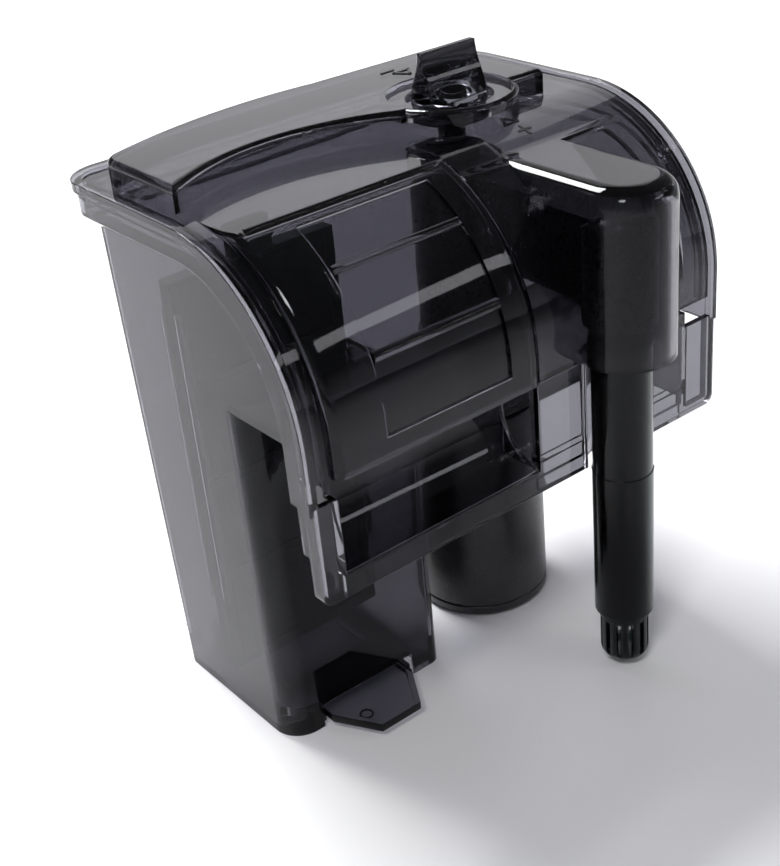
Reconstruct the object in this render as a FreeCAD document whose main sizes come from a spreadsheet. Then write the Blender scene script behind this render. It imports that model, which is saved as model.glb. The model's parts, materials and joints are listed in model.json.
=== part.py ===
import math
import os
import re

import FreeCAD
import Part
from FreeCAD import Placement, Rotation, Vector

# Hang-on-back aquarium filter. Millimetres, +Z up, +X to the right seen from the tank,
# -Y towards the tank, +Y away from the glass. The origin is the bottom centre of its box.

DIMENSIONS = {
    # head of the box, seen from the side: a flat rim, a quarter round and a straight front
    "wall": 2.0,
    "far": 400.0,
    "lip_half": 76.0,
    "flange_half": 75.0,
    "body_half": 70.0,
    "arc_y": 5.5,
    "arc_z": 116.0,
    "rim_rad": 49.5,
    "lip_rad": 46.5,
    "ledge_rad": 44.5,
    "band_rad": 37.0,
    "band_low": 100.0,
    "lip_back": 64.0,
    "flange_back": 61.5,
    "flange_bevel": 2.8,
    # media chamber and the shallow pump chamber beside it
    "chamber_front": -8.0,
    "chamber_right": -11.5,
    "back_bottom": 51.5,
    "back_top": 57.5,
    "body_top": 153.0,
    "deep_floor": 8.0,
    "pump_floor": 75.0,
    "corner_rad": 9.0,
    "small_rad": 4.0,
    "partition_top": 104.0,
    "foot_left": -58.0,
    "foot_right": -23.0,
    # the part that reaches over the glass and the outlet in front of it
    "bridge_low": 112.0,
    "weir_y": -29.0,
    "weir_top": 120.0,
    "slide_y": -46.0,
    "slide_z": 96.0,
    "slide_rad": 17.0,
    "skirt_low": 72.0,
    "rail_top": 79.0,
    "skirt_top": 107.0,
    "leg_inner": 62.0,
    "leg_back": -39.5,
    "fin_x": 2.0,
    # cover
    "cover_half": 72.7,
    "cover_in": 46.7,
    "cover_out": 48.7,
    "cover_back": 59.2,
    "cover_low": 108.0,
    "barrel_rad": 52.0,
    "barrel_left": -68.0,
    "barrel_right": 2.0,
    "valley_z": 164.7,
    "deck_z": 172.0,
    "deck_left": -69.0,
    "deck_right": 58.0,
    "deck_corner": 7.0,
    # the pump axis and the intake axis lie in one plane
    "axis_x": 27.0,
    "axis_y": 15.0,
    "intake_x": 30.3,
    "intake_y": -48.5,
    "bulge_x": 31.0,
    "bulge_y": -50.0,
    "bulge_rad": 14.0,
    "bulge_low": 108.0,
    "bulge_top": 160.0,
    "tube_rad": 9.0,
    "recess_rad": 10.5,
    "tube_wall": 1.5,
    "seat_rad": 8.8,
    "seat_low": 70.0,
    "tube_low": 20.0,
    "tube_top": 132.0,
    "spigot_rad": 6.2,
    "extension_top": 92.0,
    "strainer_low": 2.0,
    "motor_rad": 22.0,
    "motor_low": 1.0,
    "motor_top": 73.0,
    "well_rad": 10.5,
    "well_low": 38.0,
    "screw_ring": 17.6,
    "screw_rad": 1.5,
    "head_rad": 2.6,
    "core_low": 15.0,
    "core_high": 22.0,
    "core_half": 16.0,
    "magnet_rad": 8.0,
    "magnet_low": 45.0,
    "magnet_top": 71.0,
    "shaft_rad": 1.25,
    "shaft_low": 41.0,
    "volute_rad": 14.8,
    "volute_top": 97.0,
    "column_rad": 14.0,
    "column_top": 152.0,
    "duct_low": 124.0,
    "knob_rad": 11.5,
    "knob_top": 185.0,
    "scoop_rad": 16.0,
    "hole_rad": 13.0,
    "cartridge_front": 22.5,
    "cartridge_back": 28.0,
    "cartridge_top": 142.0,
    "guide_low": 36.0,
    "guide_top": 133.0,
    "plate_low": 3.1,
    "plate_high": 6.0,
    "plate_half": 15.5,
    "plate_reach": 17.5,
}

os.makedirs("parts", exist_ok=True)
doc = FreeCAD.newDocument("hang_on_back_filter")
sheet = doc.addObject("Spreadsheet::Sheet", "dims")
for row, (word, number) in enumerate(DIMENSIONS.items(), start=1):
    sheet.set(f"A{row}", word)
    sheet.set(f"B{row}", str(number))
    sheet.setAlias(f"B{row}", word)
doc.recompute()

kept = []


def size(word):
    """Read one driving dimension from the sheet."""
    return float(sheet.get(word))


def bound(text):
    """Turn words of the sheet into references to it."""
    return re.sub(r"[a-z_]+", lambda word: "dims." + word.group(0), str(text))


def bind(thing, prop, text):
    """Bind one property to an expression of the sheet's words."""
    thing.setExpression(prop, bound(text))


def put(thing, x, y, z):
    """Bind a placement's base to the sheet."""
    for name, text in (("x", x), ("y", y), ("z", z)):
        bind(thing, "Placement.Base." + name, text)


def box(x, y, z):
    """A box between pairs of expressions along each axis."""
    thing = doc.addObject("Part::Box", "block")
    for prop, (low, high) in (("Length", x), ("Width", y), ("Height", z)):
        bind(thing, prop, f"({high}) - ({low})")
    put(thing, x[0], y[0], z[0])
    return thing


AIM = {
    "x": Rotation(Vector(0, 1, 0), 90),
    "y": Rotation(Vector(1, 0, 0), -90),
    "z": Rotation(),
}


def rod(x, y, z, rad, length, aim="z"):
    """A cylinder from a start point along one axis."""
    thing = doc.addObject("Part::Cylinder", "rod")
    thing.Placement = Placement(Vector(), AIM[aim])
    bind(thing, "Radius", rad)
    bind(thing, "Height", length)
    put(thing, x, y, z)
    return thing


def upright(rad, low, high, x="axis_x", y="axis_y"):
    """A vertical cylinder between two heights, on the pump axis unless told otherwise."""
    return rod(x, y, low, rad, f"({high}) - ({low})")


def fuse(*things):
    """Join shapes into one solid."""
    thing = doc.addObject("Part::MultiFuse", "joined")
    thing.Shapes = list(things)
    thing.Refine = True
    return thing


def cut(base, *tools):
    """Take tools away from a base."""
    thing = doc.addObject("Part::Cut", "cut")
    thing.Base = base
    thing.Tool = tools[0] if len(tools) == 1 else fuse(*tools)
    thing.Refine = True
    return thing


def common(first, second):
    """Keep what two shapes share."""
    thing = doc.addObject("Part::Common", "shared")
    thing.Base = first
    thing.Tool = second
    thing.Refine = True
    return thing


def ring(outer, inner, low, high, x="axis_x", y="axis_y"):
    """A vertical tube between two heights."""
    return cut(upright(outer, low, high, x, y), upright(inner, f"({low}) - 1", f"({high}) + 1", x, y))


def rounded(base, mode, rule):
    """Fillet or chamfer every edge for which the rule gives a size."""
    doc.recompute()
    chosen = []
    for number, edge in enumerate(base.Shape.Edges, start=1):
        amount = rule(edge)
        if amount:
            chosen.append((number, amount, amount))
    thing = doc.addObject("Part::" + mode, "eased")
    thing.Base = base
    thing.Edges = chosen
    return thing


def profile(rad, left, right, low, back, corner=0):
    """The head's side profile as a prism: flat top, quarter round, straight front."""
    quarter = doc.addObject("Part::Cylinder", "quarter")
    quarter.Angle = 90
    quarter.Placement = Placement(Vector(), AIM["x"] * Rotation(Vector(0, 0, 1), 180))
    bind(quarter, "Radius", rad)
    bind(quarter, "Height", f"({right}) - ({left})")
    put(quarter, left, "arc_y", "arc_z")
    front = box((left, right), (f"arc_y - ({rad})", "arc_y"), (low, "arc_z"))
    top = box((left, right), ("arc_y", back), (low, f"arc_z + ({rad})"))
    if corner:
        def back_rule(edge):
            return corner if is_upright(edge) and edge.BoundBox.YMin > 20 else 0

        top = rounded(top, "Fillet", back_rule)
    return fuse(quarter, front, top)


def drafted(left, right, front, back, low, high):
    """A chamber block whose back leans out with the moulding draft."""
    slope = "((back_top - back_bottom) / body_top)"
    thing = doc.addObject("Part::Wedge", "chamber")
    thing.Placement = Placement(Vector(), Rotation(Vector(1, 0, 0), 90))
    for prop, text in (
        ("Xmin", left), ("X2min", left), ("Xmax", right), ("X2max", right),
        ("Ymin", low), ("Ymax", high),
        ("Zmin", f"-(({back}) + {slope} * ({low}))"), ("Z2min", f"-(({back}) + {slope} * ({high}))"),
        ("Zmax", f"-({front})"), ("Z2max", f"-({front})"),
    ):
        bind(thing, prop, text)
    return thing


def is_upright(edge):
    """True for an edge that runs mostly up and down."""
    reach = edge.BoundBox
    return reach.ZLength > 4 * (reach.XLength + reach.YLength)


def keep(thing, name):
    """Name a finished piece; the name is also its file."""
    thing.Label = name
    kept.append(thing)
    return thing


def corner_rule(offset):
    """Corner radii of a chamber: large beside the tank at the left, small elsewhere."""
    def rule(edge):
        if not is_upright(edge):
            return 0
        middle = edge.BoundBox.Center
        near_left = middle.x < -60 and middle.y < 10
        return (size("corner_rad") if near_left else size("small_rad")) - offset
    return rule


def compound(name, things):
    """Several solids kept apart in one node."""
    thing = doc.addObject("Part::Compound", name)
    thing.Links = things
    return thing


def outline(points, low, high):
    """A horizontal plate whose edge is lines and arcs: an arc is a pair of points."""
    sketch = doc.addObject("Sketcher::SketchObject", "outline")
    here = Vector(*points[0], 0)
    for step in points[1:] + [points[0]]:
        if isinstance(step[0], tuple):
            middle, end = (Vector(*spot, 0) for spot in step)
            sketch.addGeometry(Part.Arc(here, middle, end), False)
        else:
            end = Vector(*step, 0)
            sketch.addGeometry(Part.LineSegment(here, end), False)
        here = end
    bind(sketch, "Placement.Base.z", low)
    thing = doc.addObject("Part::Extrusion", "plate")
    thing.Base = sketch
    thing.DirMode = "Custom"
    thing.Dir = Vector(0, 0, 1)
    thing.Solid = True
    bind(thing, "LengthFwd", f"({high}) - ({low})")
    return thing


def stadium(rad, low, high, back):
    """An upright slot shape from the bulge's nose back towards the pump."""
    nose = upright(rad, low, high, "bulge_x", "bulge_y")
    tail = box((f"bulge_x - ({rad})", f"bulge_x + ({rad})"), ("bulge_y", back), (low, high))
    return fuse(nose, tail)


INTAKE = ("intake_x", "intake_y")


# ---------------------------------------------------------------- filter box
def band(rad_in, rad_out, half, low, back, corner):
    """A strip of the head's profile between two radii, across the whole width."""
    wide = profile(rad_out, f"-({half})", half, low, back, corner)
    return cut(wide, profile(rad_in, f"-({half}) - 1", f"({half}) + 1", f"({low}) - 1", "far"))


def flange_edge(edge):
    """The bevel under the rim flange: along both sides and across the back."""
    reach = edge.BoundBox
    middle = reach.Center
    bottom = size("arc_z") + size("band_rad")
    if abs(middle.z - bottom) < 0.01 and reach.ZLength < 0.01 and reach.YMax > size("arc_y") + 1:
        return size("flange_bevel")
    at_side = abs(abs(middle.x) - size("flange_half")) < 0.01 and reach.XLength < 0.01
    distance = math.hypot(edge.valueAt(edge.FirstParameter).y - size("arc_y"),
                          edge.valueAt(edge.FirstParameter).z - size("arc_z"))
    round_part = at_side and abs(distance - size("band_rad")) < 0.01 and reach.ZLength > 20
    return size("flange_bevel") if round_part and reach.YLength > 20 else 0


def chambers(offset, floor_deep, floor_pump, top):
    """The deep media chamber and the shallow pump chamber, as one pair of blocks."""
    left, right = f"-body_half + {offset}", f"body_half - {offset}"
    front, back = f"chamber_front + {offset}", f"back_bottom - {offset}"
    deep = drafted(left, f"chamber_right - {offset}", front, back, floor_deep, top)
    start = "chamber_right" if offset else "chamber_right - 20"
    pump = drafted(start, right, front, back, floor_pump, top)
    return rounded(deep, "Fillet", corner_rule(offset)), rounded(pump, "Fillet", corner_rule(offset))


def bridge(offset):
    """The part of the head that reaches forward over the glass."""
    half = f"body_half - {offset}"
    low, front, back = f"bridge_low + {offset}", f"weir_y + {offset}", f"chamber_front + 16 + {offset}"
    shape = profile(f"band_rad + 1 + {offset}", f"-({half})", half, low, "arc_y + 9")
    return common(shape, box((f"-({half})", half), (front, back), (low, "far")))


def outlet():
    """The water slide with its two side walls, the clear skirt and the two hooks."""
    fin_back = "weir_y + wall"
    chute = ("-body_half + 3", "fin_x")
    slide = cut(
        rod(chute[0], "slide_y", "slide_z", "slide_rad + wall", "fin_x + body_half - 3", "x"),
        rod("-far", "slide_y", "slide_z", "slide_rad", "2 * far", "x"),
    )
    front = "arc_y - rim_rad"
    slide = common(slide, box(chute, (front, fin_back), ("skirt_low", "slide_z")))
    parts = [
        slide,
        box(chute, ("weir_y", fin_back), ("slide_z", "bridge_low + wall")),
        box(chute, (front, f"{front} + wall"), ("skirt_low", "rail_top")),
    ]
    skirt = fuse(
        box(("fin_x", "leg_inner"), (front, f"{front} + wall"), ("skirt_low", "skirt_top")),
        box(("fin_x", "leg_inner"), (front, f"{front} + 3.5"), ("skirt_low", "skirt_low + 4")),
        box(("fin_x", "leg_inner"), (front, f"{front} + 3"), ("skirt_low + 9", "skirt_low + 11")),
        common(upright("recess_rad + wall", "skirt_low", "skirt_top", *INTAKE),
               box(("-far", "far"), (front, "far"), ("skirt_low", "skirt_top"))),
    )
    parts.append(cut(skirt, upright("recess_rad", "-far", "far", *INTAKE)))
    cheeks = [
        box((x, f"{x} + wall"), (front, fin_back), ("skirt_low + 6", "weir_top + 20"))
        for x in ("-body_half + 1", "fin_x", "leg_inner")
    ]
    trim = profile("cover_in - 0.7", "-far", "far", "-far", "far")
    parts.append(common(fuse(*cheeks), trim))
    for inner, outer_x in (("-body_half + 3", "-flange_half"), ("leg_inner", "flange_half")):
        left, right = (outer_x, inner) if outer_x.startswith("-") else (inner, outer_x)
        leg = box((left, right), (front, "leg_back"), ("skirt_low", "band_low + 2"))
        leg = rounded(leg, "Fillet", lambda edge: 3 if abs(edge.BoundBox.XMax) > 74.9
                      and abs(edge.BoundBox.XMin) > 74.9 and edge.BoundBox.ZMax < 73 else 0)
        pocket = box((f"({left}) + wall", f"({right}) - wall"), (f"{front} + wall", "leg_back + 1"),
                     ("skirt_low + wall", "band_low + 3"))
        parts.append(cut(leg, pocket))
    return parts


def filter_box():
    """The clear moulding: media chamber, pump chamber, bridge over the glass and outlet."""
    flange = rounded(band("band_rad", "rim_rad", "flange_half", "band_low", "flange_back", 9),
                     "Chamfer", flange_edge)
    lip = band("lip_rad", "rim_rad", "lip_half", "band_low", "lip_back", 11.5)
    deep, pump = chambers(0, "0", "pump_floor", "body_top + 1")
    outer = fuse(flange, lip, deep, pump, bridge(0))

    wide = profile("far", "-flange_half + wall", "flange_half - wall", "-far", "flange_back - wall", 7)
    under_rim = cut(wide, profile("band_rad + wall", "-far", "far", "-far - 1", "2 * far"))
    deep_in, pump_in = chambers(2, "deep_floor + wall", "pump_floor + wall", "body_top + 9")
    joined_in = drafted("-body_half + 16", "body_half - 8", "chamber_front + wall", "back_bottom - wall",
                        "partition_top", "body_top + 9")
    inner_half = ("-body_half + wall", "body_half - wall")
    over_weir = box(inner_half, ("weir_y - 5", "weir_y + wall + 1"), ("weir_top", "far"))
    shell = cut(outer, fuse(deep_in, pump_in, joined_in, bridge(2), over_weir, under_rim))
    front_x = ("-flange_half + wall", "flange_half - wall")
    shell = cut(shell, box(front_x, ("-far", "weir_y"), ("-far", "far")))

    ledge = band("ledge_rad", "lip_rad", "flange_half - 1", "cover_low", "flange_back - 1", 8)
    ledge = cut(ledge, profile("far", "-body_half", "body_half", "-far", "flange_back - 6", 4))
    ribs = []
    for edge_y in ("cartridge_front - 1.7", "cartridge_back + 0.3"):
        for left, right, top in (("-body_half + 1", "-body_half + 3.6", "guide_top"),
                                 ("chamber_right - 3.6", "chamber_right - 1", "partition_top - 2")):
            ribs.append(box((left, right), (edge_y, f"{edge_y} + 1.4"), ("guide_low", top)))
    shell = fuse(shell, ledge, *outlet(), *ribs)

    channel = box(("foot_left", "foot_right"), ("chamber_front - 5", "chamber_front + 45"),
                  ("-5", "deep_floor"))
    feet = [
        box(span, ("chamber_front + 8", "back_bottom - 3"), ("wall", "deep_floor + 3"))
        for span in (("-body_half + wall", "foot_left - wall"), ("foot_right + wall", "chamber_right - wall"))
    ]
    rotor_hole = upright("well_rad + 1", "pump_floor - 1", "pump_floor + wall + 1")
    screw_holes = screw_set("screw_rad + 0.2", "pump_floor - 1", "pump_floor + 3")
    shell = cut(shell, channel, rotor_hole, *feet, *screw_holes)
    rails = [
        box(span, ("chamber_front + wall", "chamber_front + 40"), ("0", "2.9"))
        for span in (("foot_left", "foot_left + 2"), ("foot_right - 2", "foot_right"))
    ]
    return fuse(shell, *rails)


def screw_set(rad, low, high):
    """Three upright cylinders on the motor's screw circle."""
    rods = []
    for turn in range(3):
        angle = math.radians(90 + 120 * turn)
        rods.append(upright(rad, low, high, f"axis_x + screw_ring * {math.cos(angle):.6f}",
                            f"axis_y + screw_ring * {math.sin(angle):.6f}"))
    return rods


# ---------------------------------------------------------------- cover
def deck_plate(inset, low, high):
    """The raised deck at the back of the cover, inset for its hollow."""
    left, right = size("deck_left") + inset, size("deck_right") - inset
    points = [
        (left, 11 + inset),
        ((-36, 22.5 + inset), (6, 11 + inset)),
        (44, 8.5 + inset),
        (right, 8.5 + inset),
        (right, 55 - inset),
        (8, 57 - inset),
        ((-32, 57.4 - inset), (left, 48 - inset)),
    ]
    ease = 1.9 - 0.5 * inset
    blocks = [outline(points, low, high), upright(f"20 - {inset}", low, high)]
    doc.recompute()
    top = blocks[0].Shape.BoundBox.ZMax

    def deck_rule(edge):
        reach = edge.BoundBox
        if reach.ZMin > top - 0.01:
            return ease
        at_corner = reach.XMax < left + 0.1 and reach.YMin > size("arc_y") + 30
        return size("deck_corner") - inset if at_corner else 0

    return fuse(*[rounded(block, "Fillet", deck_rule) for block in blocks])


def top_cover():
    """The clear cover: rim flange, barrel over the slide, deck with the knob's hole, intake bulge."""
    def barrel(offset):
        left, right = f"barrel_left + {offset}", f"barrel_right - {offset}"
        shape = profile(f"barrel_rad - {offset}", left, right, f"cover_low - {offset}", "arc_y + 1")
        body = common(shape, box((left, right), ("-far", "arc_y"),
                                 (f"cover_low - {offset}", f"valley_z - {offset}")))
        front = size("arc_y") - size("barrel_rad") + offset

        def end_rule(edge):
            reach = edge.BoundBox
            at_end = reach.XLength < 0.01 and reach.ZLength > 1 and reach.YMin < front + 0.01
            return 3.2 - 0.8 * offset if at_end else 0

        return rounded(body, "Fillet", end_rule)

    def bulge_rule(edge):
        on_top = edge.BoundBox.ZMin > size("bulge_top") - 0.1
        return 6 if on_top and edge.BoundBox.YMin < size("arc_y") - 8 else 0

    nose = rounded(stadium("bulge_rad", "bulge_low", "bulge_top", "arc_y - 5"), "Fillet", bulge_rule)
    panel_span = ("barrel_right", "bulge_x - bulge_rad + 1")
    panel = common(profile("barrel_rad - 1.4", *panel_span, "cover_low", "arc_y + 1"),
                   box(panel_span, ("-far", "arc_y"), ("cover_low", "valley_z")))
    top = profile("cover_out", "-cover_half", "cover_half", "cover_low", "cover_back", 6)
    outer = fuse(top, barrel(0), panel, nose, deck_plate(0, "valley_z - 3", "deck_z"))
    inside = profile("cover_in", "-far", "far", "-far", "far")
    hollow = fuse(barrel(2), stadium("bulge_rad - wall", "bulge_low - 1", "bulge_top - wall", "axis_y"),
                  deck_plate(2, "valley_z - 4", "deck_z - wall"))
    shell = cut(outer, hollow, inside)
    collar = ring("hole_rad + 7", "hole_rad", "deck_z - 4", "deck_z - 1")
    recess_span = ("barrel_left + 16.5", "barrel_left + 59")
    recess = cut(box(recess_span, ("-far", "arc_y - 22"), ("cover_low + 6", "far")),
                 profile("barrel_rad - 0.9", "-far", "far", "cover_low", "far"))
    shell = cut(shell, recess)
    ribs = []
    for start, length, angle, rib_rad in ((17, 41.5, 42, 1.3), (17, 41.5, 68.5, 1.6), (4, 64, 20.5, 1.0)):
        y = size("arc_y") - (size("barrel_rad") - 0.6) * math.sin(math.radians(angle))
        z = size("arc_z") + (size("barrel_rad") - 0.6) * math.cos(math.radians(angle))
        ribs.append(rod(f"barrel_left + {start}", f"{y:.3f}", f"{z:.3f}", f"{rib_rad}", f"{length}", "x"))
    shell = fuse(shell, collar, *ribs)
    return cut(shell, barrel(2), upright("hole_rad", "valley_z - 5", "deck_z + 1"),
               upright("hole_rad + 5.5", "deck_z - 1.5", "deck_z + 1"))


# ---------------------------------------------------------------- flow control
def flow_knob():
    """A round knob scooped front and back to a thin finger blade."""
    body = doc.addObject("Part::Cone", "body")
    bind(body, "Radius1", "knob_rad")
    bind(body, "Radius2", "knob_rad - 1.4")
    bind(body, "Height", "knob_top - valley_z")
    put(body, "axis_x", "axis_y", "valley_z")
    for side in (-1, 1):
        across = f"axis_y + {side} * (scoop_rad + 1.2)"
        body = cut(body, rod("axis_x - 20", across, "knob_top", "scoop_rad", "40", "x"))
    hollow = upright("knob_rad - wall", "valley_z - 1", "deck_z - 2")
    boss = upright("5.5", "valley_z", "deck_z")
    return cut(fuse(cut(body, hollow), boss), upright("4", "valley_z - 1", "deck_z - 1"))


def valve_stem():
    """The knob's spindle with the disc that carries the gate."""
    disc = upright("9.2", "duct_low + 19.5", "duct_low + 21.5")
    return fuse(upright("4", "duct_low + 21", "deck_z - 1"), disc)


def flow_gate():
    """A curved flap that closes the duct's mouth as the spindle turns."""
    flap = ring("9.2", "8", "duct_low + 2", "duct_low + 19.5")
    return common(flap, box(("axis_x", "axis_x + 12"), ("axis_y - 12", "axis_y + 12"),
                            ("duct_low", "duct_low + 20")))


def intake_elbow():
    """Column over the pump, duct over the glass and the drop that holds the intake tube."""
    column = upright("column_rad", "volute_top + 2", "column_top")
    drop = upright("tube_rad + 1.3", "tube_top - 14", "column_top - 2", *INTAKE)
    duct = box(("intake_x - 9", "intake_x + 8"), ("intake_y", "axis_y"), ("duct_low", "column_top - 2"))
    drop = rounded(drop, "Fillet", lambda edge: 4 if edge.BoundBox.ZMin > size("column_top") - 2.1 else 0)
    body = fuse(column, drop, duct)
    hollow = fuse(
        upright("9.5", "volute_top + 1", "column_top - wall"),
        upright("seat_rad", "tube_top - 15", "tube_top", *INTAKE),
        upright("tube_rad - tube_wall", "tube_top - 1", "column_top - 5", *INTAKE),
        box(("intake_x - 7", "intake_x + 6"), ("intake_y", "axis_y"), ("duct_low + 2", "column_top - 5")),
        upright("4.05", "column_top - 4", "column_top + 1"),
    )
    return cut(body, hollow)


def intake_tube():
    """The fixed upper tube, drawn in a little where the elbow grips it."""
    outside = fuse(upright("tube_rad", "tube_low", "seat_low", *INTAKE),
                   upright("seat_rad", "seat_low", "tube_top", *INTAKE))
    return cut(outside, upright("tube_rad - tube_wall", "tube_low - 1", "tube_top + 1", *INTAKE))


def extension_tube():
    """The thinner tube that slides inside the fixed one."""
    return ring("tube_rad - tube_wall - 0.1", "spigot_rad", "tube_low - 1", "extension_top", *INTAKE)


def strainer():
    """A slotted cap with a rounded bottom and a spigot for the extension."""
    body = rounded(upright("tube_rad - tube_wall - 0.1", "strainer_low", "tube_low - 1", *INTAKE),
                   "Fillet", lambda edge: 4 if edge.BoundBox.ZMax < size("strainer_low") + 0.1 else 0)
    spigot = upright("spigot_rad", "tube_low - 1", "tube_low + 6", *INTAKE)
    bore = upright("5", "strainer_low + 1.5", "tube_low + 7", *INTAKE)
    slots = []
    for turn in range(6):
        slot = box(("-10", "10"), ("-0.7", "0.7"), ("strainer_low + 3", "tube_low - 3"))
        slot.Placement.Rotation = Rotation(Vector(0, 0, 1), 30 * turn)
        angle = math.radians(30 * turn)
        back_x = 0.7 * math.sin(angle) - 10 * math.cos(angle)
        back_y = -0.7 * math.cos(angle) - 10 * math.sin(angle)
        put(slot, f"intake_x + {back_x:.4f}", f"intake_y + {back_y:.4f}", "strainer_low + 3")
        slots.append(slot)
    return cut(fuse(body, spigot), bore, *slots)


# ---------------------------------------------------------------- pump
def volute():
    """The impeller chamber with its outlet towards the media."""
    body = upright("volute_rad", "pump_floor + wall", "volute_top - wall")
    spout = box(("axis_x - volute_rad - 8", "axis_x"), ("axis_y + 2", "axis_y + 15"),
                ("pump_floor + 5", "pump_floor + 17"))
    hollow = fuse(upright("volute_rad - 3", "pump_floor + 4", "volute_top"),
                  box(("axis_x - volute_rad - 9", "axis_x"), ("axis_y + 3.5", "axis_y + 12"),
                      ("pump_floor + 6.5", "pump_floor + 15.5")))
    return cut(fuse(body, spout), hollow, upright("well_rad + 1", "pump_floor + 1", "pump_floor + 5"))


def volute_cover():
    """The chamber's lid: a boss for the upper bush and windows for the water."""
    body = fuse(upright("volute_rad", "volute_top - wall", "volute_top"),
                upright("3.6", "volute_top - 5", "volute_top"))
    windows = []
    for turn in range(5):
        angle = math.radians(72 * turn)
        x, y = f"axis_x + {6.4 * math.cos(angle):.4f}", f"axis_y + {6.4 * math.sin(angle):.4f}"
        windows.append(upright("1.9", "volute_top - 3", "volute_top + 1", x, y))
    return cut(body, upright("2.4", "volute_top - 6", "volute_top - 1.5"), *windows)


def impeller():
    """A hub with a back plate and straight blades, over the magnet."""
    body = fuse(upright("magnet_rad", "magnet_top", "pump_floor + 4.5"),
                upright("11", "pump_floor + 4.5", "pump_floor + 6"),
                upright("3.5", "pump_floor + 4.5", "pump_floor + 15"))
    blades = []
    for turn in range(6):
        blade = box(("0", "9"), ("-0.6", "0.6"), ("pump_floor + 5", "pump_floor + 14.5"))
        angle = math.radians(60 * turn)
        blade.Placement.Rotation = Rotation(Vector(0, 0, 1), 60 * turn)
        across = (2 * math.cos(angle) + 0.6 * math.sin(angle), 2 * math.sin(angle) - 0.6 * math.cos(angle))
        put(blade, f"axis_x + {across[0]:.4f}", f"axis_y + {across[1]:.4f}", "pump_floor + 5")
        blades.append(blade)
    return cut(fuse(body, *blades), upright("shaft_rad + 0.05", "magnet_top - 1", "pump_floor + 16"))


def bush(rad, low, high, seat):
    """A ceramic bearing with a blind seat for one end of the shaft."""
    return cut(upright(rad, low, high), upright("shaft_rad", *seat))


def motor_housing():
    """A can closed at the top, with the well that the rotor stands in."""
    can = cut(upright("motor_rad", "motor_low + 3", "motor_top"),
              upright("motor_rad - wall", "motor_low + 2", "motor_top - wall"))
    well = upright("well_rad", "well_low", "motor_top - 1")
    bosses = common(fuse(*screw_set("3.2", "motor_top - 11", "motor_top - 1")),
                    upright("motor_rad - 0.5", "motor_low", "motor_top"))
    body = fuse(can, well, bosses)
    gland_hole = rod("axis_x", "axis_y + 15", "motor_low + 10", "3.5", "10", "y")
    return cut(body, upright("well_rad - 1.5", "well_low + wall", "motor_top + 1"), gland_hole,
               *screw_set("screw_rad", "motor_top - 9", "motor_top + 1"))


def motor_screws():
    """Three round-headed screws that hold the motor to the pump chamber."""
    shanks = screw_set("screw_rad", "motor_top - 8.5", "pump_floor + wall + 0.5")
    heads = screw_set("head_rad", "pump_floor + wall", "pump_floor + wall + 2")
    return compound("screws", [fuse(*pair) for pair in zip(shanks, heads)])


def motor_base():
    """The cap under the motor, with the ring that centres it."""
    return fuse(upright("motor_rad", "motor_low", "motor_low + 3"),
                ring("motor_rad - wall", "motor_rad - wall - 1.5", "motor_low + 2", "motor_low + 6"))


def stator_core():
    """A U of laminated steel whose poles face the rotor well."""
    depth = ("axis_y - 6", "axis_y + 6")
    parts = [box(("axis_x - core_half", "axis_x + core_half"), depth, ("core_low", "core_high"))]
    for start in ("axis_x - core_half", "axis_x + core_half - 5"):
        parts.append(box((start, f"{start} + 5"), depth, ("core_low", "motor_top - 12")))
    return fuse(*parts)


def stator_coil():
    """The winding round the core's yoke."""
    body = box(("axis_x - 10", "axis_x + 10"), ("axis_y - 11", "axis_y + 11"),
               ("core_low - 5", "core_high + 5"))
    yoke = box(("axis_x - 11", "axis_x + 11"), ("axis_y - 6", "axis_y + 6"), ("core_low", "core_high"))
    return cut(body, yoke)


def cable_gland():
    """The rubber inlet where the mains lead enters the motor."""
    return cut(fuse(rod("axis_x", "axis_y + 19", "motor_low + 10", "3.5", "5", "y"),
                    rod("axis_x", "axis_y + 22", "motor_low + 10", "5", "3", "y"),
                    rod("axis_x", "axis_y + 25", "motor_low + 10", "4", "5", "y")),
               rod("axis_x", "axis_y + 15", "motor_low + 10", "2.2", "20", "y"))


# ---------------------------------------------------------------- filter media
PANES = 4
PANE_STEP = 32.2
CROSS_BAR = 2.6


def panes(front, back):
    """A block in each of the cartridge's windows."""
    blocks = []
    for row in range(PANES):
        low = f"deep_floor + 6 + {row * PANE_STEP}"
        blocks.append(box(("-body_half + 5.9", "chamber_right - 5.9"), (front, back),
                          (low, f"{low} + {PANE_STEP - CROSS_BAR}")))
    return blocks


def cartridge_frame():
    """A rigid frame with cross bars and a finger tab."""
    body = box(("-body_half + 2.4", "chamber_right - 2.4"), ("cartridge_front", "cartridge_back"),
               ("deep_floor + 2.5", "cartridge_top"))
    tab = box(("foot_left + 10", "foot_left + 24"), ("cartridge_front + 1", "cartridge_back - 1"),
              ("cartridge_top", "cartridge_top + 8"))
    return cut(fuse(body, tab), *panes("cartridge_front - 1", "cartridge_back + 1"))


def media_layer(front, back):
    """One layer of filter media: a pad in each window."""
    return compound("pads", panes(front, back))


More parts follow.
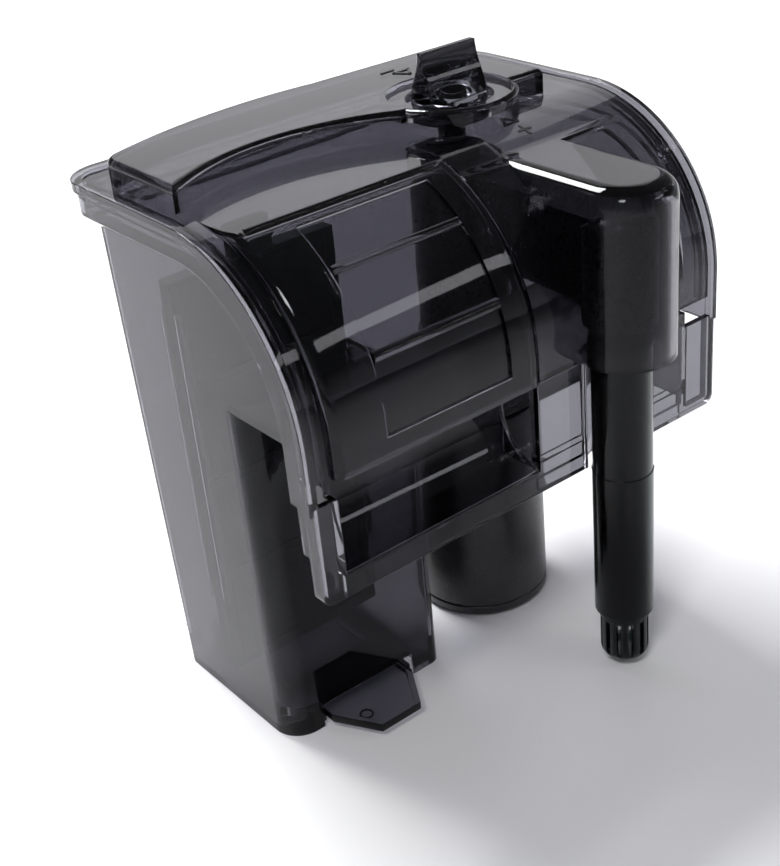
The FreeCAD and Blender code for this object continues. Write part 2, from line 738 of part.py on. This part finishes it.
# ---------------------------------------------------------------- level adjuster
def level_adjuster():
    """The sliding plate under the box whose tongue presses on the glass."""
    centre = (size("foot_left") + size("foot_right")) / 2 - 1.2
    half = size("plate_half")
    back = size("chamber_front") + 18
    tip = size("chamber_front") - size("plate_reach")
    tongue = [
        (centre - half, back), (centre - half, tip + 14), (centre - half + 8, tip),
        (centre + half - 8, tip), (centre + half, tip + 14), (centre + half, back),
    ]
    sunk = [
        (centre - half + 2, back - 2), (centre - half + 2, tip + 14.5), (centre - half + 8.8, tip + 2),
        (centre + half - 8.8, tip + 2), (centre + half - 2, tip + 14.5), (centre + half - 2, back - 2),
    ]
    recess = outline(sunk, "plate_high - 0.9", "plate_high + 1")
    return cut(outline(tongue, "plate_low", "plate_high"), recess)


keep(filter_box(), "filter_box")
keep(top_cover(), "top_cover")
keep(flow_knob(), "flow_knob")
keep(valve_stem(), "valve_stem")
keep(flow_gate(), "flow_gate")
keep(ring("7", "4.1", "column_top", "column_top + 2"), "stem_seal")
keep(intake_elbow(), "intake_elbow")
keep(ring("13.5", "10", "volute_top", "volute_top + 2"), "elbow_seal")
keep(intake_tube(), "intake_tube")
keep(extension_tube(), "extension_tube")
keep(strainer(), "intake_strainer")
keep(volute(), "impeller_chamber")
keep(volute_cover(), "chamber_lid")
keep(impeller(), "impeller")
keep(ring("magnet_rad", "shaft_rad + 0.05", "magnet_low", "magnet_top"), "rotor_magnet")
keep(upright("shaft_rad", "shaft_low", "volute_top - 2"), "rotor_shaft")
keep(bush("5", "well_low + wall", "magnet_low - 1", ("shaft_low", "magnet_low")), "lower_bush")
keep(bush("2.4", "volute_top - 5", "volute_top - 1.5", ("volute_top - 6", "volute_top - 2")), "upper_bush")
keep(motor_housing(), "motor_housing")
keep(motor_base(), "motor_base")
keep(ring("15.5", "12", "motor_top", "pump_floor"), "motor_seal")
keep(stator_core(), "stator_core")
keep(stator_coil(), "stator_coil")
keep(cable_gland(), "cable_gland")
keep(motor_screws(), "motor_screws")
keep(cartridge_frame(), "cartridge_frame")
keep(media_layer("cartridge_front + 0.2", "cartridge_front + 1.7"), "floss_front")
keep(media_layer("cartridge_front + 1.7", "cartridge_back - 1.7"), "carbon_filling")
keep(media_layer("cartridge_back - 1.7", "cartridge_back - 0.2"), "floss_back")
keep(level_adjuster(), "level_adjuster")

doc.recompute()
for thing in doc.Objects:
    if "Invalid" in thing.State or "Error" in thing.State:
        raise RuntimeError(f"{thing.Label} ({thing.TypeId}) did not compute")
for piece in kept:
    if piece.Shape.isNull() or not piece.Shape.isValid() or not piece.Shape.Solids:
        raise RuntimeError(f"{piece.Label} is not a valid solid")
for piece in kept:
    piece.Shape.exportStep(f"parts/{piece.Label}.step")
    print(piece.Label, len(piece.Shape.Solids), round(piece.Shape.Volume))
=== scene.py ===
import json
import math

import bmesh
import bpy
from mathutils import Matrix, Vector, noise as field


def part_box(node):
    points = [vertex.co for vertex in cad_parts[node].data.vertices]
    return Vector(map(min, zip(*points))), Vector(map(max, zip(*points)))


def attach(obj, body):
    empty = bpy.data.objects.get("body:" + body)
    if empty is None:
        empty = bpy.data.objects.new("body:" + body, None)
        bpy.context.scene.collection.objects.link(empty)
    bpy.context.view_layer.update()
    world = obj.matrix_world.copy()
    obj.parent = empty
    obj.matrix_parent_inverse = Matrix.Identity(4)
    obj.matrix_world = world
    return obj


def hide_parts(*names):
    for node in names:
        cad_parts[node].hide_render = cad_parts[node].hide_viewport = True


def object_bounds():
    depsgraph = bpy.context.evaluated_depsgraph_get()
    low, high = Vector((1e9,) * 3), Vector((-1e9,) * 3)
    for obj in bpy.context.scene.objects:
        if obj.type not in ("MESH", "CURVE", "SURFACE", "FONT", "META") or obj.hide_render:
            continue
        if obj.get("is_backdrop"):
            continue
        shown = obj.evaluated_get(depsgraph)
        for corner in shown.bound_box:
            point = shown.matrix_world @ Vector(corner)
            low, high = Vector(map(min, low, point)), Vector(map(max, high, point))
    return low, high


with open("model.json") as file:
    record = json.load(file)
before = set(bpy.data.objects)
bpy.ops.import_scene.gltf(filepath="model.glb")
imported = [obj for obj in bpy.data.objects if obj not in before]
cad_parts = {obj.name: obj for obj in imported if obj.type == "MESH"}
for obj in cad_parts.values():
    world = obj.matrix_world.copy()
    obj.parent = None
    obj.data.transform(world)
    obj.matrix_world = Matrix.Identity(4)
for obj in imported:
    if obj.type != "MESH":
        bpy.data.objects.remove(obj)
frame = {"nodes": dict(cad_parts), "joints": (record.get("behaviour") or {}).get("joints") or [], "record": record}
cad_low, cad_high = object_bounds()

MM = 0.001
NODES = frame["nodes"]
BODY_OF = {node: body for body, nodes in frame["record"]["behaviour"]["bodies"].items() for node in nodes}
SLOT_OF = {row["node"]: row["material_slot"] for row in frame["record"]["subparts"]}


# ---------------------------------------------------------------- materials
# Noise scales are in waves per metre and bump depths in metres.
NOISE_LOW, NOISE_HIGH = 0.3, 0.7

CLEAR_IOR = 1.42
CLEAR_SHEEN = (0.5, 0.5, 0.52, 1)
CLEAR_WAVE, CLEAR_WAVE_DEPTH = 28, 0.00004
CLEAR_HAZE = 420
CLEAR = {
    "smoke_clear": {"tint": (0.21, 0.207, 0.234), "lamp_tint": (0.5, 0.495, 0.53)},
    "smoke_knob": {"tint": (0.14, 0.14, 0.165), "lamp_tint": (0.4, 0.4, 0.43)},
    "smoke_tube": {"tint": (0.035, 0.047, 0.045), "lamp_tint": (0.25, 0.28, 0.27), "rough": (0.1, 0.2)},
}

MOTTLE = 60
OPAQUE = {
    "black_plastic": {"light": (0.018, 0.019, 0.021), "dark": (0.008, 0.008, 0.009), "rough": (0.22, 0.38)},
    "motor_plastic": {"light": (0.016, 0.016, 0.018), "dark": (0.007, 0.007, 0.008), "rough": (0.25, 0.4)},
    "grey_plastic": {"light": (0.12, 0.145, 0.14), "dark": (0.07, 0.085, 0.08), "rough": (0.3, 0.45)},
    "dark_frame": {"light": (0.03, 0.042, 0.038), "dark": (0.015, 0.02, 0.018), "rough": (0.35, 0.5)},
    "black_rubber": {"light": (0.015, 0.015, 0.016), "dark": (0.008, 0.008, 0.008), "rough": (0.55, 0.75)},
    "ferrite": {"light": (0.05, 0.05, 0.054), "dark": (0.03, 0.03, 0.032), "rough": (0.35, 0.5)},
    "ceramic": {"light": (0.8, 0.79, 0.75), "dark": (0.7, 0.69, 0.65), "rough": (0.15, 0.3)},
    "core_steel": {"light": (0.4, 0.4, 0.42), "dark": (0.25, 0.25, 0.26), "rough": (0.3, 0.5),
                   "metal": 1.0},
    "copper": {"light": (0.6, 0.25, 0.1), "dark": (0.4, 0.14, 0.05), "rough": (0.2, 0.4),
               "metal": 1.0},
    "screw_steel": {"light": (0.6, 0.6, 0.62), "dark": (0.45, 0.45, 0.46), "rough": (0.2, 0.35),
                    "metal": 1.0},
    "floss": {"light": (0.03, 0.042, 0.038), "dark": (0.012, 0.018, 0.016), "rough": (0.8, 0.95),
              "grain": 500, "depth": 0.0006},
    "carbon": {"light": (0.02, 0.02, 0.02), "dark": (0.008, 0.008, 0.008), "rough": (0.5, 0.8),
               "grain": 500, "depth": 0.0005},
}


def new_material(name):
    """A material with a Principled shader, its node tree, the shader and the output."""
    made = bpy.data.materials.new(name)
    made.use_nodes = True
    tree = made.node_tree
    tree.nodes.clear()
    out = tree.nodes.new("ShaderNodeOutputMaterial")
    shader = tree.nodes.new("ShaderNodeBsdfPrincipled")
    return made, tree, shader, out


def noise(tree, scale, detail, rough=0.5):
    """Noise in the object's own space."""
    where = tree.nodes.new("ShaderNodeTexCoord")
    made = tree.nodes.new("ShaderNodeTexNoise")
    made.inputs["Scale"].default_value = scale
    made.inputs["Detail"].default_value = detail
    made.inputs["Roughness"].default_value = rough
    tree.links.new(where.outputs["Object"], made.inputs["Vector"])
    return made.outputs["Fac"]


def remap(tree, source, low, high):
    """The middle values of a noise, spread from low to high."""
    made = tree.nodes.new("ShaderNodeMapRange")
    made.inputs["From Min"].default_value = NOISE_LOW
    made.inputs["From Max"].default_value = NOISE_HIGH
    made.inputs["To Min"].default_value = low
    made.inputs["To Max"].default_value = high
    tree.links.new(source, made.inputs["Value"])
    return made.outputs["Result"]


def bump(tree, height, depth):
    """The surface normal of a relief."""
    made = tree.nodes.new("ShaderNodeBump")
    made.inputs["Distance"].default_value = depth
    tree.links.new(height, made.inputs["Height"])
    return made.outputs["Normal"]


def clear_plastic(name, tint, lamp_tint, rough=(0.015, 0.05)):
    """Smoke-tinted clear plastic: real refraction, with lamps let through for the light inside."""
    made, tree, shader, out = new_material(name)
    shader.inputs["Base Color"].default_value = (*tint, 1)
    shader.inputs["Transmission Weight"].default_value = 1.0
    shader.inputs["IOR"].default_value = CLEAR_IOR
    shader.inputs["Specular Tint"].default_value = CLEAR_SHEEN
    wave = noise(tree, CLEAR_WAVE, detail=2)
    haze = noise(tree, CLEAR_HAZE, detail=4)
    tree.links.new(remap(tree, haze, *rough), shader.inputs["Roughness"])
    tree.links.new(bump(tree, wave, CLEAR_WAVE_DEPTH), shader.inputs["Normal"])
    lamplight = tree.nodes.new("ShaderNodeBsdfTransparent")
    lamplight.inputs["Color"].default_value = (*lamp_tint, 1)
    path = tree.nodes.new("ShaderNodeLightPath")
    mix = tree.nodes.new("ShaderNodeMixShader")
    tree.links.new(path.outputs["Is Shadow Ray"], mix.inputs[0])
    tree.links.new(shader.outputs[0], mix.inputs[1])
    tree.links.new(lamplight.outputs[0], mix.inputs[2])
    tree.links.new(mix.outputs[0], out.inputs["Surface"])
    return made


def opaque(name, light, dark, rough, grain=900, depth=0.00002, metal=0.0):
    """An opaque material with mottled colour, uneven roughness and a fine surface grain."""
    made, tree, shader, out = new_material(name)
    shader.inputs["Metallic"].default_value = metal
    mottle = noise(tree, MOTTLE, detail=4, rough=0.6)
    fine = noise(tree, grain, detail=5, rough=0.6)
    colour = tree.nodes.new("ShaderNodeMix")
    colour.data_type = "RGBA"
    colour.inputs["A"].default_value = (*dark, 1)
    colour.inputs["B"].default_value = (*light, 1)
    tree.links.new(remap(tree, mottle, 0.0, 1.0), colour.inputs["Factor"])
    tree.links.new(colour.outputs["Result"], shader.inputs["Base Color"])
    tree.links.new(remap(tree, fine, *rough), shader.inputs["Roughness"])
    tree.links.new(bump(tree, fine, depth), shader.inputs["Normal"])
    tree.links.new(shader.outputs[0], out.inputs["Surface"])
    return made


LOOK = {name: clear_plastic(name, **values) for name, values in CLEAR.items()}
LOOK.update({name: opaque(name, **values) for name, values in OPAQUE.items()})


# ---------------------------------------------------------------- pieces
def new_piece(name, mesh, slot, body):
    """An object for a mesh, with a finish of the record, riding on a body."""
    mesh.materials.append(LOOK[slot])
    piece = bpy.data.objects.new(name, mesh)
    bpy.context.scene.collection.objects.link(piece)
    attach(piece, body)
    return piece


def mesh_piece(name, verts, faces, slot, body, smooth):
    """A new piece from plain geometry."""
    mesh = bpy.data.meshes.new(name)
    mesh.from_pydata(verts, [], faces)
    if smooth:
        mesh.shade_smooth()
    return new_piece(name, mesh, slot, body)


# ---------------------------------------------------------------- eased edges
# Widths and weld distances are in millimetres, angles in degrees.
EDGE_WIDTH = {
    "filter_box": 0.25, "top_cover": 0.2, "flow_knob": 0.5, "intake_elbow": 0.3, "intake_tube": 0.3,
    "extension_tube": 0.25, "intake_strainer": 0.3, "motor_housing": 0.6, "motor_base": 0.6,
    "level_adjuster": 0.4, "cartridge_frame": 0.4, "impeller_chamber": 0.5, "chamber_lid": 0.3,
    "cable_gland": 0.4, "motor_screws": 0.3, "valve_stem": 0.4, "flow_gate": 0.2, "impeller": 0.2,
}
EDGE_SEGMENTS = 2
EDGE_ANGLE = 32
FLAT_ANGLE = 0.08
WELD = 0.002
# The intake tube's small step is welded into a taper, which shows no line.
STEP_WELD = {"intake_tube": 0.22}
# The cover's edges are too close together for a full width everywhere.
CLAMPED = {"top_cover"}
FACE_AREA_WEIGHT = 50


def eased(node, width):
    """The node's shape with eased edges, standing for the node."""
    name = node + "_eased"
    work = bmesh.new()
    work.from_mesh(NODES[node].data)
    bmesh.ops.remove_doubles(work, verts=work.verts, dist=STEP_WELD.get(node, WELD) * MM)
    bmesh.ops.dissolve_limit(work, angle_limit=math.radians(FLAT_ANGLE), verts=work.verts, edges=work.edges)
    mesh = bpy.data.meshes.new(name)
    work.to_mesh(mesh)
    work.free()
    mesh.shade_smooth()
    piece = new_piece(name, mesh, SLOT_OF[node], BODY_OF[node])
    edges = piece.modifiers.new("edges", "BEVEL")
    edges.width = width * MM
    edges.segments = EDGE_SEGMENTS
    edges.limit_method = "ANGLE"
    edges.angle_limit = math.radians(EDGE_ANGLE)
    edges.use_clamp_overlap = node in CLAMPED
    normals = piece.modifiers.new("normals", "WEIGHTED_NORMAL")
    normals.mode = "FACE_AREA"
    normals.weight = FACE_AREA_WEIGHT
    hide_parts(node)


for node, width in EDGE_WIDTH.items():
    eased(node, width)


# ---------------------------------------------------------------- media pads
# How far each pad's faces sink in, in millimetres.
PAD_SINK = {"floss_front": 0.45, "carbon_filling": 0.25, "floss_back": 0.45}
PAD_COLUMNS, PAD_ROWS = 56, 32
# A higher value makes the face rise more steeply from its rim.
RIM_SLOPE = 8
# Scales are per metre, and shares are parts of the pad's sink. The two faces take
# their fibres from opposite sides of the noise, each this far from its middle.
FIBRE_SCALE, FIBRE_SHARE = 700, 0.45
FIBRE_SIDE = 9
WEAVE_SCALE, WEAVE_SHARE = 2600, 0.3


def solids_of(node):
    """Lowest and highest corner of each separate solid in a node, from the bottom up."""
    work = bmesh.new()
    work.from_mesh(NODES[node].data)
    bmesh.ops.remove_doubles(work, verts=work.verts, dist=WELD * MM)
    left = set(work.verts)
    found = []
    while left:
        solid = []
        reached = [left.pop()]
        while reached:
            vert = reached.pop()
            solid.append(vert.co.copy())
            for edge in vert.link_edges:
                other = edge.other_vert(vert)
                if other in left:
                    left.discard(other)
                    reached.append(other)
        low = [min(spot[axis] for spot in solid) for axis in range(3)]
        high = [max(spot[axis] for spot in solid) for axis in range(3)]
        found.append((low, high))
    work.free()
    return sorted(found, key=lambda corners: corners[0][2])


def pad_sink(u, v, x, z, side):
    """How far a pad's face sinks in at a spot, as a share of the pad's whole sink."""
    rim = min(u, 1 - u) * RIM_SLOPE * min(v, 1 - v) * RIM_SLOPE
    fibre = 0.5 + 0.5 * field.noise(Vector((x * FIBRE_SCALE, side * FIBRE_SIDE, z * FIBRE_SCALE)))
    weave = 0.5 + 0.5 * math.sin(x * WEAVE_SCALE) * math.sin(z * WEAVE_SCALE)
    return 1 - min(1.0, rim) ** 0.5 + FIBRE_SHARE * fibre + WEAVE_SHARE * weave


def pad(node, name, low, high):
    """A media pad: an upright slab whose two faces are uneven and sink in towards the rim."""
    verts = []
    for side, y in ((1, high[1]), (-1, low[1])):
        for row in range(PAD_ROWS + 1):
            for column in range(PAD_COLUMNS + 1):
                u = column / PAD_COLUMNS
                v = row / PAD_ROWS
                x = low[0] + (high[0] - low[0]) * u
                z = low[2] + (high[2] - low[2]) * v
                sink = PAD_SINK[node] * MM * pad_sink(u, v, x, z, side)
                verts.append((x, y - side * sink, z))
    line = PAD_COLUMNS + 1
    face_size = line * (PAD_ROWS + 1)
    faces = []
    for side in range(2):
        for row in range(PAD_ROWS):
            for column in range(PAD_COLUMNS):
                a = side * face_size + row * line + column
                quad = (a, a + 1, a + line + 1, a + line)
                faces.append(quad if side else quad[::-1])
    ring = list(range(PAD_COLUMNS))
    ring += [PAD_COLUMNS + row * line for row in range(PAD_ROWS)]
    ring += [face_size - 1 - column for column in range(PAD_COLUMNS)]
    ring += [(PAD_ROWS - row) * line for row in range(PAD_ROWS)]
    for a, b in zip(ring, ring[1:] + ring[:1]):
        faces.append((a, b, b + face_size, a + face_size))
    return mesh_piece(name, verts, faces, SLOT_OF[node], BODY_OF[node], smooth=True)


for node in PAD_SINK:
    for count, (low, high) in enumerate(solids_of(node)):
        made = pad(node, f"{node}_pad_{count}", low, high)
        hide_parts(node)


# ---------------------------------------------------------------- moulded marks
# Strokes and places are in millimetres. Each stroke runs from one point to another.
# A mark's place is measured from the knob's axis at the height of the cover's top.
STROKE_HALF_WIDTH, STROKE_HEIGHT = 0.45, 0.25
# The corner and the inset are parts of the half width, and the shoulder of the height.
STROKE_CORNER, STROKE_INSET = 0.4, 0.2
STROKE_SHOULDER = 0.6
TRIANGLE = [((-2.8, -2.0), (2.8, -2.0)), ((2.8, -2.0), (0, 2.4)), ((0, 2.4), (-2.8, -2.0))]
TRIANGLE_DOWN = [((-x1, -y1), (-x2, -y2)) for (x1, y1), (x2, y2) in TRIANGLE]
PLUS = [((-2.2, 0), (2.2, 0)), ((0, -2.2), (0, 2.2))]
MINUS = [((-2.2, 0), (2.2, 0))]
MARKS = {
    "mark_triangle_front": {"strokes": TRIANGLE, "place": (6.4, -16.5, -7.75), "tilt": 8},
    "mark_plus": {"strokes": PLUS, "place": (7.6, -23.0, -9.25), "tilt": 16},
    "mark_triangle_back": {"strokes": TRIANGLE_DOWN, "place": (4.2, 25.0, 0.05), "tilt": 0},
    "mark_minus": {"strokes": MINUS, "place": (1.2, 30.0, 0.05), "tilt": 0},
}

knob_x, knob_y = next(joint["pos_m"][:2] for joint in frame["joints"] if joint["name"] == "flow_turn")
cover_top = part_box("top_cover")[1].z


def stroke_outline(start, end):
    """The eight points around a stroke with cut corners."""
    along = (end - start).normalized() * STROKE_HALF_WIDTH * MM
    over = Vector((-along.y, along.x, 0))
    points = []
    for tip, out, across in ((start, -along, -over), (end, along, over)):
        points.append(tip + out * STROKE_CORNER + across)
        points.append(tip + out + across * STROKE_CORNER)
        points.append(tip + out - across * STROKE_CORNER)
        points.append(tip + out * STROKE_CORNER - across)
    return points


def mark(name, strokes, place, tilt):
    """A generic mark of straight strokes with cut corners, standing on the cover."""
    origin = Vector((knob_x, knob_y, cover_top)) + Vector(place) * MM
    turn = Matrix.Rotation(math.radians(tilt), 3, "X")
    tall = STROKE_HEIGHT * MM
    inset = STROKE_HALF_WIDTH * STROKE_INSET * MM
    levels = ((-STROKE_SHOULDER * tall, 0.0), (STROKE_SHOULDER * tall, 0.0), (tall, inset))
    verts = []
    faces = []
    for tail, head in strokes:
        start = Vector((*tail, 0)) * MM
        end = Vector((*head, 0)) * MM
        middle = (start + end) / 2
        outline = stroke_outline(start, end)
        base = len(verts)
        for level, inward in levels:
            for spot in outline:
                flat = spot - (spot - middle).normalized() * inward
                verts.append(origin + turn @ Vector((flat.x, flat.y, level)))
        count = len(outline)
        for below in (base, base + count):
            above = below + count
            for corner in range(count):
                beside = (corner + 1) % count
                faces.append((below + beside, below + corner, above + corner, above + beside))
        faces.append([base + 2 * count + corner for corner in reversed(range(count))])
        faces.append([base + corner for corner in range(count)])
    mesh_piece(name, verts, faces, "black_plastic", "cover", smooth=False)


for name, values in MARKS.items():
    mark(name, **values)

# The ring's place is measured from the level plate's lowest corner.
RING_PLACE = (8.2, 8.0, 2.05)
RING_RADIUS, RING_BEAD = 1.9, 0.35
RING_TURNS, RING_STEPS = 48, 8


def level_ring():
    """A small round bead standing on the level plate."""
    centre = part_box("level_adjuster")[0] + Vector(RING_PLACE) * MM
    verts = []
    faces = []
    for turn in range(RING_TURNS):
        angle = 2 * math.pi * turn / RING_TURNS
        for step in range(RING_STEPS):
            tilt = 2 * math.pi * step / RING_STEPS
            reach = RING_RADIUS + RING_BEAD * math.cos(tilt)
            bead = Vector((reach * math.cos(angle), reach * math.sin(angle), RING_BEAD * math.sin(tilt)))
            verts.append(centre + bead * MM)
            here = turn * RING_STEPS
            following = (turn + 1) % RING_TURNS * RING_STEPS
            beside = (step + 1) % RING_STEPS
            faces.append((here + step, following + step, following + beside, here + beside))
    mesh_piece("level_ring", verts, faces, "smoke_clear", "leveller", smooth=True)


level_ring()


# ---------------------------------------------------------------- the nodes that stay
for node, shown in NODES.items():
    if not shown.hide_render:
        for finish in shown.material_slots:
            finish.material = LOOK[SLOT_OF[node]]


# ---------------------------------------------------------------- floor and surroundings
FLOOR_SIZE, FLOOR_GAP = 8, 0.0002
PAPER = (0.9, 0.9, 0.91, 1)
PAPER_ROUGH = 0.9
ROOM = (0.86, 0.87, 0.92, 1)
ROOM_LEVEL, ROOM_ABOVE = 0.8, 0.16
HORIZON_TOP = 0.22

bpy.ops.mesh.primitive_plane_add(size=FLOOR_SIZE, location=(0, 0, cad_low.z - FLOOR_GAP))
floor = bpy.context.object
floor.name = "floor"
paper, tree, shader, out = new_material("paper")
shader.inputs["Base Color"].default_value = PAPER
shader.inputs["Roughness"].default_value = PAPER_ROUGH
tree.links.new(shader.outputs[0], out.inputs["Surface"])
floor.data.materials.append(paper)
floor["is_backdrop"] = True

# The room is bright at the horizon and dim above it.
world = bpy.data.worlds.new("studio")
bpy.context.scene.world = world
world.use_nodes = True
room = world.node_tree
background = room.nodes["Background"]
background.inputs["Color"].default_value = ROOM
direction = room.nodes.new("ShaderNodeTexCoord")
split = room.nodes.new("ShaderNodeSeparateXYZ")
fade = room.nodes.new("ShaderNodeMapRange")
fade.inputs["From Min"].default_value = 0.0
fade.inputs["From Max"].default_value = HORIZON_TOP
fade.inputs["To Min"].default_value = ROOM_LEVEL
fade.inputs["To Max"].default_value = ROOM_ABOVE
room.links.new(direction.outputs["Generated"], split.inputs[0])
room.links.new(split.outputs["Z"], fade.inputs["Value"])
room.links.new(fade.outputs["Result"], background.inputs["Strength"])


# ---------------------------------------------------------------- lamps
# Places, aims and sizes are in metres, and powers in watts.
LAMPS = {
    "key": {"place": (-0.6, -0.45, 0.95), "aim": (0, 0, 0.08), "size": (0.3, 0.2), "power": 5},
    "top": {"place": (-0.05, 0.75, 1.15), "aim": (-0.05, 0.5, 0), "size": (0.5, 0.4), "power": 24},
    "panel": {"place": (0.62, 0.85, 0.75), "aim": (0.05, 0.05, 0.1), "size": (0.9, 0.7), "power": 1.9},
    "window": {"place": (0.62, -0.85, 0.68), "aim": (0, 0, 0.12), "size": (0.5, 0.12), "power": 1.0},
}


def lamp(name, place, aim, size, power):
    """A rectangular lamp that faces a point."""
    light = bpy.data.lights.new(name, "AREA")
    light.shape = "RECTANGLE"
    light.size, light.size_y = size
    light.energy = power
    made = bpy.data.objects.new(name, light)
    bpy.context.scene.collection.objects.link(made)
    made.location = place
    made.rotation_mode = "QUATERNION"
    made.rotation_quaternion = (Vector(aim) - Vector(place)).to_track_quat("-Z", "Y")


for name, values in LAMPS.items():
    lamp(name, **values)


# ---------------------------------------------------------------- camera
# Distances are in metres, and the lens and the sensor in millimetres.
AZIMUTH, ELEVATION, ROLL = math.radians(-35.988), math.radians(29.51), math.radians(-5.793)
DISTANCE = 0.47248
AIM = Vector((0.004528, 0.029719, 0.061867))
LENS, SENSOR = 60.566, 36
CLIP_START, CLIP_END = 0.01, 20

level = math.cos(ELEVATION)
back = Vector((math.sin(AZIMUTH) * level, -math.cos(AZIMUTH) * level, math.sin(ELEVATION)))
right = (-back).cross(Vector((0, 0, 1))).normalized()
up = right.cross(-back)
rolled_right = math.cos(ROLL) * right + math.sin(ROLL) * up
rolled_up = -math.sin(ROLL) * right + math.cos(ROLL) * up
view = bpy.data.cameras.new("camera")
view.lens = LENS
view.sensor_width = SENSOR
view.clip_start = CLIP_START
view.clip_end = CLIP_END
camera = bpy.data.objects.new("camera", view)
bpy.context.scene.collection.objects.link(camera)
facing = Matrix((rolled_right, rolled_up, back)).transposed().to_4x4()
camera.matrix_world = Matrix.Translation(AIM + back * DISTANCE) @ facing
bpy.context.scene.camera = camera


# ---------------------------------------------------------------- picture
LIGHT_BOUNCES, SEE_THROUGH_BOUNCES = 24, 32

scene = bpy.context.scene
scene.view_settings.view_transform = "Standard"
scene.cycles.max_bounces = LIGHT_BOUNCES
scene.cycles.transmission_bounces = LIGHT_BOUNCES
scene.cycles.transparent_max_bounces = SEE_THROUGH_BOUNCES
scene.cycles.use_denoising = True

bpy.context.view_layer.update()
low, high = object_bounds()
